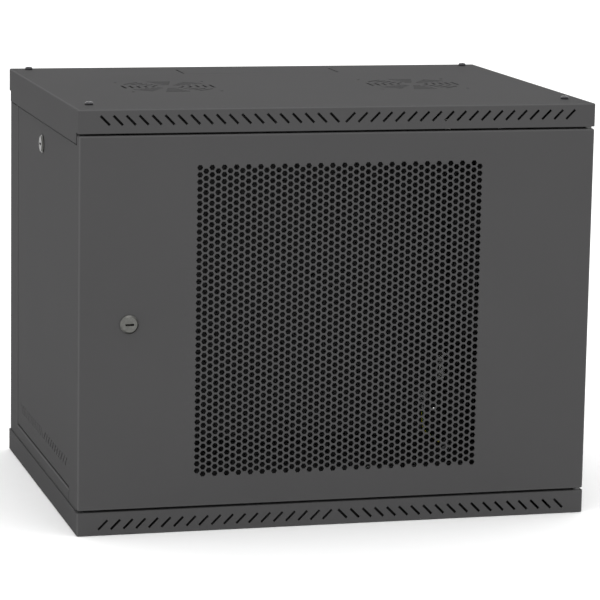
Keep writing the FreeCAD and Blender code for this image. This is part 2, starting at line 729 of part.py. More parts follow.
def build_rear_panel(label):
    body = new_body(label)
    outline = new_sketch(body, label + "_outline", "XZ_Plane", "-@frame_rear + @gauge")
    add_rectangle(outline, "-@rear_panel_x", "2 * @skin",
                  "@rear_panel_x", "@outer_height - 2 * @skin")
    pad(body, outline, "@skin")
    holes = new_sketch(body, label + "_holes", "XZ_Plane", "-@frame_rear + @gauge")
    for side in (-1, 1):
        for end in (-1, 0, 1):
            add_circle(holes, across(side, "@rear_screw_x"),
                       "@outer_height / 2 + %d * @rear_screw_z" % end,
                       "@rear_screw_hole")
    pocket(body, holes, "2 * @skin", flip=True)
    return body


# ---------------------------------------------------------------- rails

def build_depth_rail(label, side, end):
    """A channel from the front to the rear upright, its web towards the equipment."""
    body = new_body(label)
    height = "@outer_height / 2 + %d * @depth_rail_z" % end
    low = "%s - @depth_rail_tall / 2" % height
    high = "%s + @depth_rail_tall / 2" % height
    web = "@frame_inner - @gauge"
    profile = new_sketch(body, label + "_profile", "XZ_Plane", "@window_front - @gauge")
    points = [
        (across(side, web + " + @depth_rail_fold"), low),
        (across(side, web), low),
        (across(side, web), high),
        (across(side, web + " + @depth_rail_fold"), high),
    ]
    fold_sheet(body, profile, points, "@gauge", -side,
               "@window_front + @window_rear - 2 * @gauge", flip=True)

    # The web runs on over the lips of both uprights.
    web_ends = new_sketch(body, label + "_ends", "YZ_Plane", across(side, web))
    inset = "@depth_rail_tall / 2 - @bend"
    add_rectangle(web_ends, "-@window_front - @upright_lip", "%s - (%s)" % (height, inset),
                  "@window_rear + @upright_lip", "%s + (%s)" % (height, inset))
    pad(body, web_ends, "@gauge", flip=side < 0)

    holes = new_sketch(body, label + "_holes", "YZ_Plane", across(side, web))
    add_circle(holes, "-@window_front - @lip_hole_inset", height, "@screw_hole")
    add_circle(holes, "@window_rear + @lip_hole_inset", height, "@screw_hole")
    for middle in ("-@depth_slot_front", "@depth_slot_rear"):
        add_obround(holes, middle, height, "@depth_slot_half", "0", "@depth_rail_slot")
    pocket(body, holes, "4 * @gauge", both=True)
    return body


def build_rack_rail(label, side):
    """A 19 inch rail: square holes in the front flange, its web on the depth rails."""
    body = new_body(label)
    outer = "@frame_inner - @gauge"
    bottom = "(@outer_height - @rack_long) / 2"
    profile = new_sketch(body, label + "_profile", "XY_Plane", bottom)
    points = [
        (across(side, "@rack_opening / 2"), "-@rack_front"),
        (across(side, outer), "-@rack_front"),
        (across(side, outer), "-@rack_front + @rack_deep"),
    ]
    fold_sheet(body, profile, points, "@rack_gauge", side, "@rack_long", bend="@rack_bend")

    # Three square holes in each rack unit, 15.875 mm apart.
    squares = new_sketch(body, label + "_squares", "XZ_Plane", "@rack_front + 1")
    first = "(@outer_height - @rack_units * @rack_unit) / 2"
    for hole in range(3):
        middle = "%s + @rack_unit / 7 + %d * @rack_unit * 5 / 14" % (first, hole)
        centre = across(side, "@rack_holes / 2")
        add_rectangle(squares, centre + " - @rack_hole / 2", middle + " - @rack_hole / 2",
                      centre + " + @rack_hole / 2", middle + " + @rack_hole / 2")
    cut = pocket(body, squares, "@rack_gauge + 2")
    linear_pattern(body, cut, squares, "V_Axis",
                   "@rack_unit * (@rack_units - 1)", "@rack_units")

    holes = new_sketch(body, label + "_holes", "YZ_Plane", across(side, outer))
    for end in (-1, 1):
        add_circle(holes, "-@rail_screw_y",
                   "@outer_height / 2 + %d * @depth_rail_z" % end, "@screw_hole")
    pocket(body, holes, "3 * @rack_gauge", both=True)
    return body


# ---------------------------------------------------------------- door

def build_door_pan(label):
    """The door's folded pan before its field of holes is punched."""
    body = new_body(label)
    outline = new_sketch(body, label + "_outline", "XZ_Plane", "@outer_depth / 2")
    add_rectangle(outline, "-@door_left", "@door_low", "@door_right", "@door_high")
    pad(body, outline, "@door_deep", flip=True)
    back = -size("outer_depth") / 2 + size("door_deep")
    round_edges(body, lambda middle, edge: middle.y < back - 0.1, "@door_bend")
    scoop(body, label + "_inside", "XZ_Plane", "@outer_depth / 2 - @door_deep",
          ("-@door_left", "@door_low"), ("@door_right", "@door_high"),
          "@door_deep", "@skin", "@door_bend", flip=True)

    lock_hole = new_sketch(body, label + "_lock_hole", "XZ_Plane", "@outer_depth / 2")
    add_circle(lock_hole, "-@lock_x", "@outer_height / 2", "@lock_barrel + @lock_play")
    pocket(body, lock_hole, "2 * @skin")
    hinge_holes = new_sketch(body, label + "_hinge_holes", "XY_Plane")
    add_circle(hinge_holes, "@hinge_x", "-@hinge_y", "@pin_hole")
    pocket(body, hinge_holes, "@outer_height", flip=True)
    return body


def perforated_field(half_x, z_low, z_high):
    """Faces of the punched field, and the corners of its rectangle.

    The field is a honeycomb of hexagonal holes. It is laid out in bands, two rows of
    holes to a band, whose borders zigzag through the webs between the rows.
    """
    pitch = size("hole_pitch")
    column_pitch = pitch * math.sqrt(3) / 2
    radius = size("hole_across") / math.sqrt(3)
    half_cell = pitch / math.sqrt(3) / 2
    columns = int(size("hole_columns"))
    rows = int(size("hole_rows"))
    middle_z = size("outer_height") / 2
    face_y = -size("outer_depth") / 2
    skin = size("skin")
    rows_in_band = 2

    def column_x(column):
        return (column - (columns - 1) / 2) * column_pitch

    def stagger(column):
        return pitch / 4 if column % 2 == 0 else -pitch / 4

    def row_z(row):
        return middle_z + (row - (rows - 1) / 2) * pitch

    def border(row):
        """The border under a row of holes, from left to right."""
        if row == 0:
            return [V(-half_x, face_y, z_low), V(half_x, face_y, z_low)]
        if row == rows:
            return [V(-half_x, face_y, z_high), V(half_x, face_y, z_high)]
        level = row_z(row) - pitch / 2
        bends = [V(column_x(c) + end * half_cell, face_y, level + stagger(c))
                 for c in range(columns) for end in (-1, 1)]
        return [V(-half_x, face_y, level)] + bends + [V(half_x, face_y, level)]

    def hexagon(x, z):
        turns = [math.radians(60 * k) for k in range(7)]
        points = [V(x + radius * math.cos(a), face_y, z + radius * math.sin(a))
                  for a in turns]
        wire = Part.makePolygon(points)
        wire.reverse()
        return wire

    faces = []
    left_side = []
    right_side = []
    through = V(0, skin, 0)
    for row in range(0, rows, rows_in_band):
        low = border(row)
        high = border(row + rows_in_band)
        left_side.append(low[0])
        right_side.append(low[-1])
        holes = [hexagon(column_x(c), row_z(r) + stagger(c))
                 for r in range(row, row + rows_in_band) for c in range(columns)]
        outline = Part.makePolygon(low + high[::-1] + [low[0]])
        band = Part.Face([outline] + holes)
        cut_edges = {(round(e.CenterOfMass.x, 4), round(e.CenterOfMass.z, 4))
                     for e in outline.Edges}
        for face in band.extrude(through).Faces:
            middle = face.CenterOfMass
            is_outer_wall = (round(middle.x, 4), round(middle.z, 4)) in cut_edges
            if not is_outer_wall:
                faces.append(face)
    left_side.append(V(-half_x, face_y, z_high))
    right_side.append(V(half_x, face_y, z_high))
    return faces, left_side + right_side[::-1]


def build_door_panel(label, pan):
    """The door's sheet: the pan with the punched field let into its front."""
    face_y = -size("outer_depth") / 2
    field_area = 2 * size("field_half") * (size("field_high") - size("field_low"))
    faces, corners = perforated_field(size("field_half"), size("field_low"),
                                      size("field_high"))
    for face in pan.Shape.Faces:
        depth = face.CenterOfMass.y - face_y
        is_plane = face.Surface.TypeId == "Part::GeomPlane"
        is_sheet = is_plane and face.Area > field_area
        if not is_sheet:
            faces.append(face)
            continue
        lift = V(0, size("skin") if depth > size("skin") / 2 else 0, 0)
        rim = Part.makePolygon([p + lift for p in corners + corners[:1]])
        wires = [face.OuterWire] + [w for w in face.Wires if not w.isSame(face.OuterWire)]
        faces.append(Part.makeFace(wires + [rim], "Part::FaceMakerBullseye"))
    shell = Part.Compound(faces)
    shell.sewShape()
    solid = Part.Solid(shell if shell.ShapeType == "Shell" else shell.Shells[0])
    if solid.Volume < 0:
        solid.reverse()
    return add_feature(label, solid)


def build_stiffener(label, side):
    """A hat section spot welded inside the door beside the holes."""
    body = new_body(label)
    height = "@stiffener_long"
    profile = new_sketch(body, label + "_profile", "XY_Plane",
                         "(@outer_height - @stiffener_long) / 2")
    inner = "-@outer_depth / 2 + @skin + @just_clear"
    crest = inner + " + @stiffener_deep"
    middle = across(side, "@stiffener_x")
    points = [
        (middle + " - @stiffener_wide / 2 - @stiffener_foot", inner),
        (middle + " - @stiffener_wide / 2", inner),
        (middle + " - @stiffener_wide / 2", crest),
        (middle + " + @stiffener_wide / 2", crest),
        (middle + " + @stiffener_wide / 2", inner),
        (middle + " + @stiffener_wide / 2 + @stiffener_foot", inner),
    ]
    add_loop(profile, folded(profile, points, "@skin", 1))
    pad(body, profile, height)
    return body


# ---------------------------------------------------------------- hinges

def build_hinge_pin(label, z_low, z_high, has_finger):
    """A hinge pin; the sprung upper one has a collar and a bent finger."""
    axis = V(size("hinge_x"), -size("hinge_y"), 0)
    solid = Part.makeCylinder(size("pin_radius"), z_high - z_low, axis + V(0, 0, z_low), UP)
    if has_finger:
        collar = Part.makeCylinder(size("collar_radius"), size("collar_thick"),
                                   axis + V(0, 0, size("collar_low")), UP)
        finger = Part.makeCylinder(size("finger_radius"), size("finger_long"),
                                   axis + V(0, 0, size("finger_z")), V(-1, 0, 0))
        solid = solid.fuse([collar, finger]).removeSplitter()
    return add_feature(label, solid)


def build_hinge_guide(label, ears):
    """A small bracket on the door's side fold, with two ears that hold a hinge pin."""
    gap = size("just_clear")
    skin = size("skin")
    gauge = size("gauge")
    deep = size("guide_deep")
    wide = size("guide_wide")
    outer_x = size("door_right") - skin - gap
    front_y = -size("outer_depth") / 2 + size("door_bend") + gap
    low, high = ears
    tall = high + gauge - low
    solid = Part.makeBox(skin, deep, tall, V(outer_x - skin, front_y, low))
    for z in ears:
        solid = solid.fuse(Part.makeBox(wide, deep, gauge, V(outer_x - wide, front_y, z)))
    bore = Part.makeCylinder(size("pin_hole"), tall,
                             V(size("hinge_x"), -size("hinge_y"), low), UP)
    return add_feature(label, solid.cut(bore).removeSplitter())


def build_hinge_spring(label):
    """An open coil round the upper pin, between the guide's lower ear and the collar."""
    wire = size("spring_wire")
    gap = size("spring_gap")
    turns = size("spring_turns")
    low = size("upper_ear_1") + size("gauge") + gap
    high = size("collar_low") - gap
    coil_radius = size("pin_radius") + gap + wire
    pitch = (high - low - 2 * wire) / turns
    helix = Part.makeHelix(pitch, pitch * turns, coil_radius)
    section = Part.Wire(Part.makeCircle(wire, V(coil_radius, 0, 0), V(0, 1, 0)))
    solid = Part.Wire(helix.Edges).makePipeShell([section], True, True)
    place = Placement(V(size("hinge_x"), -size("hinge_y"), low + wire), Rotation())
    return add_feature(label, solid, place)


def build_hinge_washers(label):
    """A washer in the gap over the door and one in the gap under it."""
    play = size("hinge_play")
    base_top = size("end_flange")
    roof_low = size("outer_height") - size("end_flange")
    rings = []
    for low, high in ((base_top, size("door_low") - play), (size("door_high") + play, roof_low)):
        at = V(size("hinge_x"), -size("hinge_y"), low)
        ring = Part.makeCylinder(size("washer_radius"), high - low, at, UP)
        rings.append(ring.cut(Part.makeCylinder(size("pin_hole"), high - low, at, UP)))
    return add_feature(label, Part.Compound(rings))


# ---------------------------------------------------------------- locks

def hexagon_prism(half_flats, z, thick):
    """A hexagonal blank about the Z axis, standing on z."""
    radius = half_flats / math.cos(math.radians(30))
    turns = [math.radians(60 * k) for k in range(7)]
    points = [V(radius * math.cos(a), radius * math.sin(a), z) for a in turns]
    return Part.Face(Part.makePolygon(points)).extrude(V(0, 0, thick))


def build_lock(prefix, placement, sheet_name, cam_turn):
    """A key lock in its own frame: Z points out of the sheet, whose face is z = 0."""
    housing = new_body(prefix + "_housing")
    section = new_sketch(housing, prefix + "_housing_section", "XZ_Plane")
    bore = "@lock_plug + @lock_gap"
    seat = "@lock_plug_head + @lock_gap"
    add_loop(section, (
        (bore, "-@lock_deep"), ("@lock_barrel", "-@lock_deep"), ("@lock_barrel", "0"),
        ("@lock_head", "0"), ("@lock_head", "@lock_proud / 3"),
        ("@lock_face", "@lock_proud"), (seat, "@lock_proud"),
        (seat, "@lock_proud / 2"), (bore, "@lock_proud / 2")))
    turn = housing.newObject("PartDesign::Revolution", prefix + "_housing_turn")
    turn.Profile = section
    turn.ReferenceAxis = (section, ["V_Axis"])
    turn.Angle = 360

    plug = new_body(prefix + "_plug")
    section = new_sketch(plug, prefix + "_plug_section", "XZ_Plane")
    add_loop(section, (
        ("0", "-@lock_deep - @lock_play"), ("@lock_plug", "-@lock_deep - @lock_play"),
        ("@lock_plug", "@lock_proud / 2 + @lock_play"),
        ("@lock_plug_head", "@lock_proud / 2 + @lock_play"),
        ("@lock_plug_head", "@lock_proud"), ("0", "@lock_proud")))
    turn = plug.newObject("PartDesign::Revolution", prefix + "_plug_turn")
    turn.Profile = section
    turn.ReferenceAxis = (section, ["V_Axis"])
    turn.Angle = 360
    doc.recompute()
    key = new_sketch(plug, prefix + "_key_slot", "XY_Plane", "@lock_proud")
    add_rectangle(key, "-@key_long / 2", "-@key_wide / 2", "@key_long / 2", "@key_wide / 2")
    pocket(plug, key, "@key_deep")
    tail = new_sketch(plug, prefix + "_tail", "XY_Plane", "-@lock_deep - @lock_play")
    add_rectangle(tail, "-@tail_half", "-@tail_half", "@tail_half", "@tail_half")
    pad(plug, tail, "@cam_thick", flip=True)
    thread = new_sketch(plug, prefix + "_thread", "XY_Plane", "-@lock_deep - @cam_thick - 1")
    add_circle(thread, "0", "0", "@cam_screw_shank + @thread_gap")
    pocket(plug, thread, "@cam_screw_long + 1", flip=True)

    cam = new_body(prefix + "_cam")
    bar = new_sketch(cam, prefix + "_cam_bar", "XY_Plane", "-@lock_deep - 2 * @lock_play")
    add_rectangle(bar, "-@cam_wide / 2", "-@cam_tail", "@cam_wide / 2", "@cam_reach")
    pad(cam, bar, "@cam_thick", flip=True)
    round_edges(cam, lambda middle, edge: abs(edge.Vertexes[0].Z - edge.Vertexes[-1].Z) > 1,
                "@cam_corner")
    square = new_sketch(cam, prefix + "_cam_square", "XY_Plane", "-@lock_deep")
    half = "@tail_half + @lock_gap"
    add_rectangle(square, "-(%s)" % half, "-(%s)" % half, half, half)
    pocket(cam, square, "@cam_thick + 1")

    gap = size("just_clear")
    under = size("lock_deep") + 2 * size("lock_play") + size("cam_thick") + gap
    head_tall = size("cam_screw_tall")
    head = Part.makeCylinder(size("cam_screw_head"), head_tall, V(0, 0, -under - head_tall), UP)
    stem = Part.makeCylinder(size("cam_screw_shank"), size("cam_screw_long"),
                             V(0, 0, -under), UP)
    screw = add_feature(prefix + "_cam_screw", head.fuse(stem).removeSplitter())

    nut_thick = size("lock_nut_thick")
    nut_low = -size(sheet_name) - gap - nut_thick
    blank = hexagon_prism(size("lock_nut_half"), nut_low, nut_thick)
    bore_hole = Part.makeCylinder(size("lock_barrel") + size("thread_gap"), nut_thick,
                                  V(0, 0, nut_low), UP)
    nut = add_feature(prefix + "_nut", blank.cut(bore_hole))

    for piece in (housing, plug, screw, nut):
        piece.Placement = placement
    cam.Placement = placement.multiply(Placement(V(0, 0, 0), Rotation(UP, cam_turn)))
    return [housing, plug, cam, screw, nut]


# ---------------------------------------------------------------- side panels

def build_side_panel(label, side):
    body = new_body(label)
    face = across(side, "@frame_x - @panel_recess")
    outline = new_sketch(body, label + "_outline", "YZ_Plane", face)
    add_rectangle(outline, "-@window_front + @panel_gap", "@window_low + @panel_gap",
                  "@window_rear - @panel_gap", "@window_high - @panel_top_gap")
    pad(body, outline, "@panel_deep", flip=side > 0)
    mouth = side * (size("frame_x") - size("panel_recess") - size("panel_deep"))
    round_edges(body, lambda middle, edge: abs(middle.x - mouth) > 0.1, "@bend")
    scoop(body, label + "_inside", "YZ_Plane",
          across(side, "@frame_x - @panel_recess - @panel_deep"),
          ("-@window_front + @panel_gap", "@window_low + @panel_gap"),
          ("@window_rear - @panel_gap", "@window_high - @panel_top_gap"),
          "@panel_deep", "@panel_skin", "@bend", flip=side > 0)

    inner_edge = across(side, "@frame_x - @panel_recess - @panel_deep")
    tabs = new_sketch(body, label + "_tabs", "YZ_Plane", inner_edge)
    middle = "(@window_rear - @window_front) / 2"
    sill = "@window_low + @panel_gap"
    for end in (-1, 1):
        y = "%s + %d * @panel_tab_y" % (middle, end)
        add_rectangle(tabs, y + " - @panel_tab_half", sill + " - @panel_tab_drop",
                      y + " + @panel_tab_half", sill + " + @panel_skin")
    pad(body, tabs, "@panel_skin", flip=side < 0)

    lock_hole = new_sketch(body, label + "_lock_hole", "YZ_Plane", face)
    add_circle(lock_hole, "@side_lock_y", "@side_lock_z", "@lock_barrel + @lock_play")
    pocket(body, lock_hole, "4 * @panel_skin", both=True)
    for half, word in ((-1, "front"), (1, "rear")):
        slot_row(body, "%s_slots_%s" % (label, word), "YZ_Plane", face,
                 ("-@side_slot_y", "@side_slot_height"), half, "@side_slot_count",
                 "@side_slot_pitch", "2 * @panel_skin", flip=side < 0)
    return body


# ---------------------------------------------------------------- fasteners

def pan_screw(length, head, height, shank):
    """A pan-head screw: its head above z = 0, its shank below, a cross recess on top."""
    crown_radius = 0.6 * height
    recess_long = 0.9 * head
    recess_wide = 0.2 * head
    recess_low = 0.5 * height
    crown = Part.makeCylinder(head, height, V(0, 0, 0), UP)
    rim = [edge for edge in crown.Edges if abs(edge.CenterOfMass.z - height) < 0.01
           and edge.Curve.TypeId == "Part::GeomCircle"]
    crown = crown.makeFillet(crown_radius, rim)
    for turn in (0, 90):
        arm = Part.makeBox(recess_long, recess_wide, height,
                           V(-recess_long / 2, -recess_wide / 2, recess_low))
        arm.rotate(V(0, 0, 0), UP, turn)
        crown = crown.cut(arm)
    stem = Part.makeCylinder(shank, length, V(0, 0, -length), UP)
    return crown.fuse(stem).removeSplitter()


def frame_screw(length):
    """An M6 screw."""
    return pan_screw(length, size("pan_head"), size("pan_height"), size("shank"))


def hex_nut():
    """An M6 nut under z = 0, its bore a close fit on the shank."""
    thick = size("nut_thick")
    bore = Part.makeCylinder(size("shank") + size("thread_gap"), thick, V(0, 0, -thick), UP)
    return hexagon_prism(size("nut_half"), -thick, thick).cut(bore)


def group(label, shape, placements):
    """Copies of one solid, kept together as a group of separate solids."""
    copies = []
    for placement in placements:
        copy = shape.copy()
        copy.Placement = placement.multiply(shape.Placement)
        copies.append(copy)
    return add_feature(label, Part.Compound(copies))


def corner_places(z):
    """Places of the four corner screws at one height."""
    return [Placement(V(side * size("screw_x"), y, z), Rotation())
            for side in (-1, 1) for y in (-size("screw_front"), size("screw_rear"))]


def side_places(x, y_list, rail_z):
    """Places on both sides at both depth rails, heads towards the equipment."""
    places = []
    for side in (-1, 1):
        inwards = Rotation(UP, V(-side, 0, 0))
        for end in (-1, 1):
            z = size("outer_height") / 2 + end * rail_z
            places += [Placement(V(side * x, y, z), inwards) for y in y_list]
    return places


def build_fasteners():
    skin = size("skin")
    gauge = size("gauge")
    height = size("outer_height")
    parts = [
        group("roof_screws", frame_screw(size("roof_screw_long")),
              corner_places(height)),
        group("roof_nuts", hex_nut(),
              corner_places(height - skin - gauge)),
        group("base_screws", frame_screw(skin + gauge),
              corner_places(skin + gauge)),
    ]
    inset = size("lip_hole_inset")
    lip_y = [-size("window_front") - inset, size("window_rear") + inset]
    spare = size("screw_spare")
    web_x = size("frame_inner") - gauge
    rail_z = size("depth_rail_z")
    parts += [
        group("depth_rail_screws", frame_screw(2 * gauge + spare),
              side_places(web_x, lip_y, rail_z)),
        group("depth_rail_nuts", hex_nut(),
              side_places(web_x + 2 * gauge, lip_y, rail_z)),
    ]
    rack_y = [-size("rail_screw_y")]
    rack_gauge = size("rack_gauge")
    parts += [
        group("rack_rail_screws", frame_screw(rack_gauge + gauge + spare),
              side_places(web_x - rack_gauge, rack_y, rail_z)),
        group("rack_rail_nuts", hex_nut(),
              side_places(web_x + gauge, rack_y, rail_z)),
    ]
    rearwards = Rotation(UP, V(0, 1, 0))
    rear_places = [
        Placement(V(side * size("rear_screw_x"), size("frame_rear"),
                    height / 2 + end * size("rear_screw_z")), rearwards)
        for side in (-1, 1) for end in (-1, 0, 1)]
    small_screw = pan_screw(size("small_long"), size("small_head"), size("small_height"),
                            size("small_shank"))
    parts.append(group("rear_panel_screws", small_screw, rear_places))
    return parts


def build_wall_plates():
    """Four plain plates that close the wall bolt holes from the inside."""
    wide = size("wall_plate_wide")
    tall = size("wall_plate_tall")
    thick = size("wall_plate_thick")
    plate = Part.makeBox(wide, thick, tall, V(-wide / 2, -thick, -tall / 2))
    upright_edges = [edge for edge in plate.Edges
                     if abs(edge.Vertexes[0].Y - edge.Vertexes[-1].Y) > 1]
    plate = plate.makeFillet(size("plate_corner"), upright_edges)
    inner_y = size("frame_rear") - size("gauge")
    places = [Placement(V(side * size("wall_x"), inner_y,
                          size("outer_height") / 2 + end * size("wall_z")), Rotation())
              for side in (-1, 1) for end in (-1, 1)]
    return group("wall_plates", plate, places)


# ---------------------------------------------------------------- earthing

def build_earthing():
    """Studs on the base and the rear panel, joined by a short lead with ring lugs."""
    skin = size("skin")
    x = size("earth_x")
    floor_at = V(x, size("earth_y"), skin)
    wall_y = size("frame_rear") - size("gauge") - skin
    wall_at = V(x, wall_y, size("earth_z"))
    up_place = Placement(floor_at, Rotation())
    forward = Rotation(UP, V(0, -1, 0))
    wall_place = Placement(wall_at, forward)
    origin = V(0, 0, 0)
    along = V(0, 1, 0)
    stud = Part.makeCylinder(size("shank"), size("stud_long"), origin, UP)
    studs = group("earth_studs", stud, [up_place, wall_place])

    low = size("spacer_thick")
    thick = size("lug_thick")
    neck = size("lug_neck")
    crimp_radius = size("crimp_radius")
    crimp_at = V(0, size("crimp_from"), low + crimp_radius)
    ring = Part.makeCylinder(size("lug_radius"), thick, V(0, 0, low), UP)
    palm = Part.makeBox(neck, size("lug_reach"), thick, V(-neck / 2, 0, low))
    barrel = Part.makeCylinder(crimp_radius, size("crimp_long"), crimp_at, along)
    eye = Part.makeCylinder(size("stud_hole"), size("stud_long"), origin, UP)
    core = Part.makeCylinder(size("crimp_bore"), size("crimp_long"), crimp_at, along)
    lug = ring.fuse([palm, barrel]).removeSplitter().cut(eye.fuse(core))
    lugs = group("earth_lugs", lug, [up_place, aim_lug_down(wall_at)])

    nut = hex_nut()
    nut.translate(V(0, 0, low + thick + size("nut_thick")))
    nuts = group("earth_nuts", nut, [up_place, wall_place])
    washer = Part.makeCylinder(size("spacer_radius"), low, origin, UP).cut(eye)
    washers = group("earth_washers", washer, [up_place, wall_place])

    lead_radius = size("lead_radius")
    lead_z = skin + low + crimp_radius
    lead_y = wall_y - low - crimp_radius
    reach = size("crimp_from") + size("crimp_long")
    start = V(x, size("earth_y") + reach, lead_z)
    finish = V(x, lead_y, size("earth_z") - reach)
    bend_radius = min(lead_y - start.y, finish.z - lead_z) * size("lead_ease")
    corner = V(x, lead_y, lead_z)
    before = corner - V(0, bend_radius, 0)
    after = corner + V(0, 0, bend_radius)
    swing = bend_radius * (1 - math.cos(math.pi / 4))
    on_arc = corner + V(0, -swing, swing)
    path = Part.Wire([
        Part.LineSegment(start, before).toShape(),
        Part.Arc(before, on_arc, after).toShape(),
        Part.LineSegment(after, finish).toShape(),
    ])
    section = Part.Wire(Part.makeCircle(lead_radius, start, along))
    lead = add_feature("earth_lead", path.makePipeShell([section], True, False))
    return [studs, lugs, nuts, washers, lead]


def aim_lug_down(at):
    """A lug on the rear panel: its hole along -Y, its barrel pointing down."""
    return Placement(at, Rotation(V(-1, 0, 0), V(0, 0, -1), V(0, -1, 0), "XYZ"))


# ---------------------------------------------------------------- assembly

def build_cabinet():
    parts = []
    height = size("outer_height")
    parts.append(build_tray("roof", "@roof_flange", "@roof_entry_y",
                            Placement(V(0, 0, height), Rotation())))
    parts.append(build_tray("base", "@base_flange", "@base_entry_y",
                            Placement(V(0, 0, 0), Rotation(V(0, 1, 0), 180))))
    for side, word in ((-1, "left"), (1, "right")):
        parts.append(build_front_upright("front_upright_" + word, side))
        parts.append(build_rear_upright("rear_upright_" + word, side))
        parts.append(build_sill("side_sill_" + word, side))
        parts.append(build_header("side_header_" + word, side))
        parts.append(build_depth_rail("depth_rail_lower_" + word, side, -1))
        parts.append(build_depth_rail("depth_rail_upper_" + word, side, 1))
        parts.append(build_rack_rail("rack_rail_" + word, side))
        parts.append(build_side_panel("side_panel_" + word, side))
        parts.append(build_stiffener("door_stiffener_" + word, side))
    parts.append(build_rear_panel("rear_panel"))
    parts.append(build_wall_plates())
    parts += build_fasteners()
    parts += build_earthing()

    pan = build_door_pan("door_pan")
    parts.append(build_door_panel("door_panel", pan))
    for word, has_finger in (("lower", False), ("upper", True)):
        parts.append(build_hinge_pin("hinge_pin_" + word, size(word + "_pin_low"),
                                     size(word + "_pin_high"), has_finger))
        parts.append(build_hinge_guide("hinge_guide_" + word,
                                       (size(word + "_ear_1"), size(word + "_ear_2"))))
    parts.append(build_hinge_spring("hinge_spring"))
    parts.append(build_hinge_washers("hinge_washers"))

    front = -size("outer_depth") / 2
    door_lock = Placement(V(-size("lock_x"), front, height / 2), Rotation(V(1, 0, 0), 90))
    parts += build_lock("door_lock", door_lock, "skin", 0)
    panel_x = size("frame_x") - size("panel_recess")
    for side, word in ((-1, "left"), (1, "right")):
        at = V(side * panel_x, size("side_lock_y"), size("side_lock_z"))
        facing = Rotation(V(0, 1, 0), V(0, 0, side), V(side, 0, 0), "XYZ")
        cam_turn = -90
        parts += build_lock("side_lock_" + word, Placement(at, facing),
                            "panel_skin", cam_turn)
    return parts


def write_parts(parts):
    doc.recompute()
    for item in doc.Objects:
        if "Invalid" in item.State or "Error" in item.State:
            raise RuntimeError("%s: %s" % (item.Name, item.State))
    os.makedirs("parts", exist_ok=True)
    for part in parts:
        shape = part.Shape
        if shape.isNull() or not shape.isValid():
            raise RuntimeError("%s has no valid shape" % part.Label)
        shape.exportStep("parts/%s.step" % part.Label)
        print("%-24s %2d solids %10.1f mm3" % (part.Label, len(shape.Solids), shape.Volume))


write_parts(build_cabinet())
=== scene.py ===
import json
import math

import bpy
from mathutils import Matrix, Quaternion, Vector


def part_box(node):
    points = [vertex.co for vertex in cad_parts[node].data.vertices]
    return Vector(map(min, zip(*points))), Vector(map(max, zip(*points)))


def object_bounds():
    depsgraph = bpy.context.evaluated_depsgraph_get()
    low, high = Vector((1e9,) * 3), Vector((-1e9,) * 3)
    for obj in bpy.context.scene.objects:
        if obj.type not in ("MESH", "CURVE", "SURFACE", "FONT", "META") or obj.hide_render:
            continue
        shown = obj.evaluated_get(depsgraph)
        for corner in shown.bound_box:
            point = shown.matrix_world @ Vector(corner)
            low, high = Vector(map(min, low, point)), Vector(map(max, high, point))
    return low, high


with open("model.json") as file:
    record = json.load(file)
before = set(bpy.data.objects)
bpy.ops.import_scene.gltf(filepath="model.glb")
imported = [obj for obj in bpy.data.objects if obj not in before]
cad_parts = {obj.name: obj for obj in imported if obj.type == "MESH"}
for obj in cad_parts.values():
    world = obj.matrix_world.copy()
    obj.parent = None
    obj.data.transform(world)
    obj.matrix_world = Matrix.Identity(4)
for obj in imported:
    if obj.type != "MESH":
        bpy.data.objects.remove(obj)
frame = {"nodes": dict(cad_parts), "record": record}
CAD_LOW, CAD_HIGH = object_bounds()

# A wall-mounted network cabinet: the looks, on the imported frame. Everything is in metres.

NODES = frame["nodes"]

# The coat: hardly any gloss, and a highlight painted over the bends, lighter by this share.
COAT_GLOSS = 0.003
PAINTED_BEND_HIGHLIGHT = 0.7

# Nickel's blue as a share of its red and green, and the greys of the lock heads; the side locks'
# darker greys are painted shade on the same plate.
NICKEL_BLUE = 0.94
DOOR_NICKEL = (0.1, 0.134)
SIDE_NICKEL_SHADED = (0.06, 0.08)

# From the lead's middle to its yellow bands.
LEAD_BAND = 0.0012

# The floor reaches this far, just under the cabinet.
FLOOR_HALF = 40.0
FLOOR_DROP = 0.0002
PAPER_GLOSS = 0.1

# The studio: an even white sky and two square lamps (place, target, width, watts).
SKY_STRENGTH = 1.36
LAMPS = {
    "overhead": ((0.0, -0.6, 4.0), (0.0, 0.0, 0.2), 3.0, 24.0),
    "lamp": ((-0.75, -2.9, 2.4), (-0.2, -0.1, 0.3), 0.25, 2.0),
}

# The camera: degrees, millimetres for the lens and its sensor, metres for the rest.
CAMERA_AZIMUTH = -15.144
CAMERA_ELEVATION = 10.051
CAMERA_ROLL = 1.012
CAMERA_PLACE = (-0.9279, -3.4841, 0.8604)
CAMERA_LENS = 182.85
CAMERA_SENSOR = 36.0
CAMERA_REACH = 200.0


# ---------------------------------------------------------------- material tools

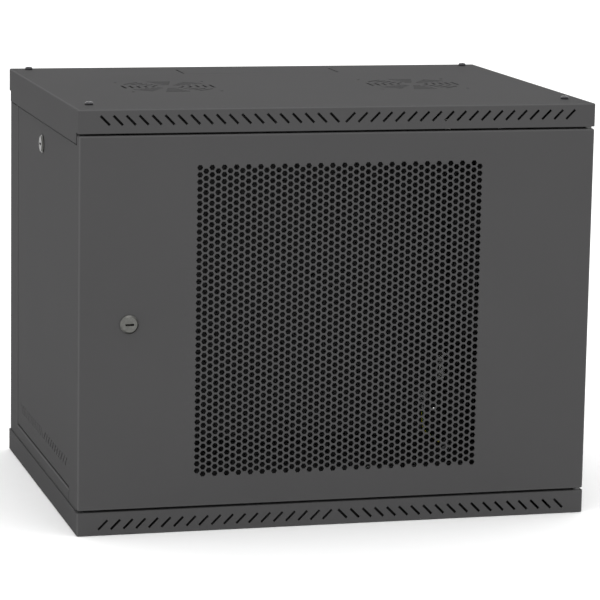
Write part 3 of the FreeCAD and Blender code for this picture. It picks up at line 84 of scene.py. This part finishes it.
class Tree:
    """A material's node tree, with short calls that add a node and link it."""

    def __init__(self, name):
        self.material = bpy.data.materials.new(name)
        self.material.use_nodes = True
        self.nodes = self.material.node_tree.nodes
        self.links = self.material.node_tree.links
        self.shader = self.nodes["Principled BSDF"]
        coordinates = self.nodes.new("ShaderNodeTexCoord")
        self.place = coordinates.outputs["Object"]
        self.facing = coordinates.outputs["Normal"]

    def add(self, kind, inputs=(), **settings):
        node = self.nodes.new("ShaderNode" + kind)
        for key, value in settings.items():
            setattr(node, key, value)
        for key, value in dict(inputs).items():
            self.put(node.inputs[key], value)
        return node

    def put(self, socket, value):
        if isinstance(value, bpy.types.NodeSocket):
            self.links.new(value, socket)
        else:
            socket.default_value = value

    def set(self, **values):
        for key, value in values.items():
            self.put(self.shader.inputs[key.replace("_", " ")], value)

    def math(self, operation, *values):
        node = self.add("Math", enumerate(values), operation=operation)
        return node.outputs["Value"]

    def noise(self, scale, detail=2.0, roughness=0.5, place=None):
        """A noise value from 0 to 1; scale is features per metre."""
        node = self.add("TexNoise", {"Vector": place or self.place, "Scale": scale,
                                     "Detail": detail, "Roughness": roughness})
        return node.outputs["Fac"]

    def ramp(self, value, stops):
        """A colour that follows a value; stops are (position, grey or colour)."""
        node = self.add("ValToRGB", {"Fac": value})
        elements = node.color_ramp.elements
        while len(elements) < len(stops):
            elements.new(0.5)
        for element, (position, colour) in zip(elements, stops):
            element.position = position
            if isinstance(colour, (int, float)):
                colour = (colour, colour, colour)
            element.color = (*colour, 1.0)
        return node.outputs["Color"]

    def span(self, value, low, high):
        """A value from 0 to 1 moved to the range low to high."""
        node = self.add("MapRange", {"Value": value, "To Min": low, "To Max": high})
        return node.outputs["Result"]

    def bump(self, height, distance, strength=1.0, normal=None):
        inputs = {"Height": height, "Distance": distance, "Strength": strength}
        if normal is not None:
            inputs["Normal"] = normal
        return self.add("Bump", inputs).outputs["Normal"]


def powder_coat(name, pairs):
    """Dark grey fine-texture powder coat on sheet steel, with a highlight painted over the bends.

    A bend's normal lies between two of the object's own axes; pairs names them.
    """
    tree = Tree(name)
    broad = tree.noise(9.0, detail=3.0)
    grain = tree.noise(1300.0, detail=2.0, roughness=0.6)
    peel = tree.noise(260.0, detail=1.0)
    mixed = tree.math("ADD", tree.span(broad, 0.3, 0.7), tree.span(grain, -0.12, 0.12))
    coat = tree.ramp(mixed, ((0.25, (0.0588, 0.0583, 0.059)), (0.75, (0.0638, 0.0632, 0.064))))
    facing = tree.add("SeparateXYZ", {"Vector": tree.facing})
    bends = None
    for first, second in pairs:
        both = tree.math("MULTIPLY", facing.outputs[first], facing.outputs[second])
        amount = tree.math("ABSOLUTE", both)
        bends = amount if bends is None else tree.math("ADD", bends, amount)
    # Painted highlight: the coat's colour is lightened where the normal lies between two axes, over
    # the bends.
    bend_highlight = tree.math("MULTIPLY_ADD", bends, PAINTED_BEND_HIGHLIGHT, 1.0)
    tree.set(Base_Color=tree.add("VectorMath", {0: coat, "Scale": bend_highlight},
                                 operation="SCALE").outputs["Vector"],
             Roughness=tree.span(grain, 0.55, 0.7), Specular_IOR_Level=COAT_GLOSS)
    coarse = tree.bump(peel, 0.00006, 0.5)
    tree.set(Normal=tree.bump(grain, 0.00003, 0.6, coarse))
    return tree.material


def zinc_plate():
    """Zinc-plated steel: a grey metal, faintly clouded."""
    tree = Tree("zinc_plate")
    cloud = tree.noise(120.0, detail=4.0, roughness=0.6)
    scratch = tree.noise(900.0, detail=2.0)
    tree.set(Base_Color=tree.ramp(cloud, ((0.3, (0.43, 0.44, 0.45)), (0.7, (0.56, 0.57, 0.57)))),
             Metallic=0.85, Roughness=tree.span(cloud, 0.4, 0.55),
             Normal=tree.bump(scratch, 0.00001, 0.4))
    return tree.material


def dull_zinc():
    """The wall plates: zinc gone matt and pale."""
    tree = Tree("dull_zinc")
    cloud = tree.noise(150.0, detail=3.0)
    tree.set(Base_Color=tree.ramp(cloud, ((0.3, (0.58, 0.58, 0.56)), (0.7, (0.68, 0.68, 0.65)))),
             Metallic=0.1, Roughness=tree.span(cloud, 0.5, 0.65),
             Normal=tree.bump(cloud, 0.00002, 0.3))
    return tree.material


def dark_zinc():
    """The roof screws: black-passivated zinc, still shiny."""
    tree = Tree("dark_zinc")
    cloud = tree.noise(500.0, detail=3.0)
    tree.set(Base_Color=tree.ramp(cloud, ((0.3, (0.03, 0.03, 0.032)), (0.7, (0.07, 0.07, 0.073)))),
             Metallic=1.0, Roughness=tree.span(cloud, 0.2, 0.3),
             Normal=tree.bump(cloud, 0.00001, 0.4))
    return tree.material


def satin_nickel(name, low, high):
    """A lock head: satin nickel plate, its grey from low to high."""
    tree = Tree(name)
    cloud = tree.noise(300.0, detail=3.0)
    fine = tree.noise(2600.0, detail=1.0)
    stops = [(0.3, (low, low, NICKEL_BLUE * low)), (0.7, (high, high, NICKEL_BLUE * high))]
    tree.set(Base_Color=tree.ramp(cloud, stops), Metallic=1.0, Roughness=tree.span(cloud, 0.26, 0.36),
             Normal=tree.bump(fine, 0.000005, 0.4))
    return tree.material


def spring_steel():
    """Bright drawn wire."""
    tree = Tree("spring_steel")
    draw = tree.noise(700.0, detail=2.0)
    tree.set(Base_Color=tree.ramp(draw, ((0.3, 0.5), (0.7, 0.62))), Metallic=1.0,
             Roughness=tree.span(draw, 0.2, 0.32))
    return tree.material


def nylon():
    """Grey nylon washers."""
    tree = Tree("nylon")
    mottle = tree.noise(400.0, detail=2.0)
    tree.set(Base_Color=tree.ramp(mottle, ((0.3, (0.05, 0.05, 0.05)), (0.7, (0.065, 0.065, 0.065)))),
             Roughness=0.45, Normal=tree.bump(mottle, 0.00002, 0.3))
    return tree.material


def lead_insulation(centre_x):
    """Green insulation with a yellow band along each side of the lead."""
    tree = Tree("lead_insulation")
    parts = tree.add("SeparateXYZ", {"Vector": tree.place})
    away = tree.math("ABSOLUTE", tree.math("SUBTRACT", parts.outputs["X"], centre_x))
    is_side = tree.math("GREATER_THAN", away, LEAD_BAND)
    colour = tree.ramp(is_side,
                       ((0.0, (0.03, 0.16, 0.03)), (1.0, (0.75, 0.62, 0.03))))
    rub = tree.noise(500.0, detail=2.0)
    tree.set(Base_Color=colour, Roughness=tree.span(rub, 0.35, 0.5),
             Normal=tree.bump(rub, 0.00001, 0.3))
    return tree.material


def paint(names, material):
    for name in names:
        NODES[name].data.materials.clear()
        NODES[name].data.materials.append(material)


def paint_nodes():
    low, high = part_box("earth_lead")
    slots = {
        "powder_coat": powder_coat("powder_coat", (("X", "Y"), ("Y", "Z"), ("X", "Z"))),
        "zinc_plate": zinc_plate(),
        "dark_zinc": dark_zinc(),
        "chromed_metal": satin_nickel("satin_nickel", *DOOR_NICKEL),
        "nylon": nylon(),
        "lead_insulation": lead_insulation((low[0] + high[0]) / 2),
    }
    for part in frame["record"]["subparts"]:
        paint([part["node"]], slots[part["material_slot"]])
    paint(["hinge_spring"], spring_steel())
    paint(["wall_plates"], dull_zinc())
    # The side locks are the same nickel plate as the door lock; their darker copy is painted shade.
    side_locks = [node for node in NODES
                  if node.startswith("side_lock") and node.endswith(("housing", "plug"))]
    paint(side_locks, satin_nickel("shaded_nickel", *SIDE_NICKEL_SHADED))
    # The roof and the door take the painted bend highlight on fewer bends than the other parts.
    paint(["roof"], powder_coat("roof_coat", (("Y", "Z"), ("X", "Z"))))
    paint(["door_panel"], powder_coat("door_coat", (("X", "Y"), ("Y", "Z"))))


# ---------------------------------------------------------------- studio

def build_floor():
    mesh = bpy.data.meshes.new("floor")
    far = FLOOR_HALF
    corners = [(-far, -far, 0), (far, -far, 0), (far, far, 0), (-far, far, 0)]
    mesh.from_pydata(corners, [], [range(len(corners))])
    floor = bpy.data.objects.new("floor", mesh)
    bpy.context.scene.collection.objects.link(floor)
    tree = Tree("floor_paper")
    grain = tree.noise(40.0, detail=2.0)
    tree.set(Base_Color=tree.ramp(grain, ((0.2, 0.94), (0.8, 0.95))), Roughness=0.9,
             Specular_IOR_Level=PAPER_GLOSS)
    mesh.materials.append(tree.material)
    floor.location.z = CAD_LOW[2] - FLOOR_DROP


def build_light(name, place, target, width, power):
    data = bpy.data.lights.new(name, "AREA")
    data.shape = "SQUARE"
    data.size = width
    data.energy = power
    light = bpy.data.objects.new(name, data)
    light.location = place
    aim = Vector(target) - Vector(place)
    light.rotation_mode = "QUATERNION"
    light.rotation_quaternion = aim.to_track_quat("-Z", "Y")
    bpy.context.scene.collection.objects.link(light)


def build_studio():
    world = bpy.data.worlds.new("studio")
    world.use_nodes = True
    background = world.node_tree.nodes["Background"]
    background.inputs["Color"].default_value = (1.0, 1.0, 1.0, 1.0)
    background.inputs["Strength"].default_value = SKY_STRENGTH
    bpy.context.scene.world = world
    bpy.context.scene.view_settings.view_transform = "Standard"
    for name, settings in LAMPS.items():
        build_light(name, *settings)


def build_camera():
    """The camera at the viewing angle, a long lens nearly four metres off."""
    azimuth = math.radians(CAMERA_AZIMUTH)
    elevation = math.radians(CAMERA_ELEVATION)
    data = bpy.data.cameras.new("camera")
    data.lens = CAMERA_LENS
    data.sensor_width = CAMERA_SENSOR
    data.clip_end = CAMERA_REACH
    camera = bpy.data.objects.new("camera", data)
    camera.location = CAMERA_PLACE
    ahead = Vector((-math.sin(azimuth) * math.cos(elevation),
                    math.cos(azimuth) * math.cos(elevation), -math.sin(elevation)))
    roll = Quaternion((0, 0, 1), math.radians(CAMERA_ROLL))
    camera.rotation_mode = "QUATERNION"
    camera.rotation_quaternion = ahead.to_track_quat("-Z", "Y") @ roll
    bpy.context.scene.collection.objects.link(camera)
    bpy.context.scene.camera = camera


build_camera()
build_studio()
build_floor()
paint_nodes()
